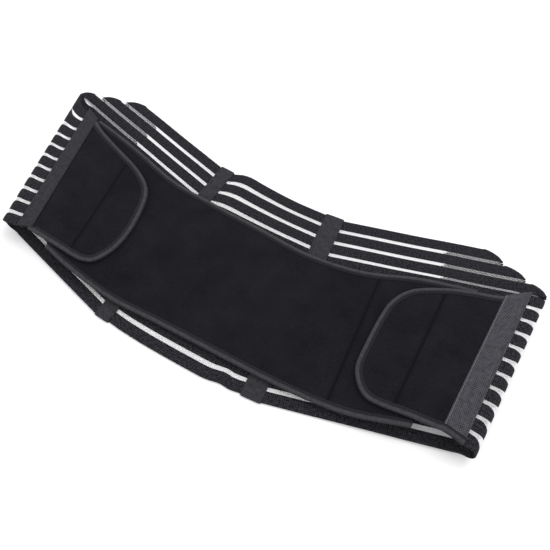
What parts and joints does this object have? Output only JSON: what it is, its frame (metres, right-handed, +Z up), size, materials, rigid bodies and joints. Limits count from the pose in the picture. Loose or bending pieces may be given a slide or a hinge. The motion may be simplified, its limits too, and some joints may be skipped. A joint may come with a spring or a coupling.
{
  "type": "maternity support belt",
  "caption": "Maternity support belt lying fastened as a flattened loop: slatted elastic back band, velour front panel and rounded fastening tabs with bound edges.",
  "frame": {"origin": "under the middle of the belt's box, on the floor that the back tapes lie on", "axes": "+X runs along the belt towards its right end, +Y up the body towards the edge with the turned-under corners, +Z up from the floor towards the front panel"},
  "size_m": [0.539, 0.2404, 0.0247],
  "materials": {
    "elastic": "ribbed woven elastic",
    "tape": "twill tape",
    "velour": "brushed loop velour",
    "binding": "folded edge binding"
  },
  "bodies": {
    "root": {"elastic_strip_01": "elastic", "elastic_strip_02": "elastic", "elastic_strip_03": "elastic", "elastic_strip_04": "elastic", "elastic_strip_05": "elastic", "elastic_strip_06": "elastic", "elastic_strip_07": "elastic", "elastic_strip_08": "elastic", "elastic_strip_09": "elastic", "elastic_strip_10": "elastic", "elastic_strip_11": "elastic", "elastic_strip_12": "elastic", "elastic_strip_13": "elastic", "elastic_strip_14": "elastic", "back_tape_left": "tape", "back_tape_right": "tape", "front_tape_left": "tape", "front_tape_right": "tape", "tab_left": "velour", "tab_right": "velour", "front_panel": "velour", "tab_binding_left": "binding", "tab_binding_right": "binding", "panel_binding_upper": "binding", "panel_binding_lower": "binding"}
  },
  "joints": []
}
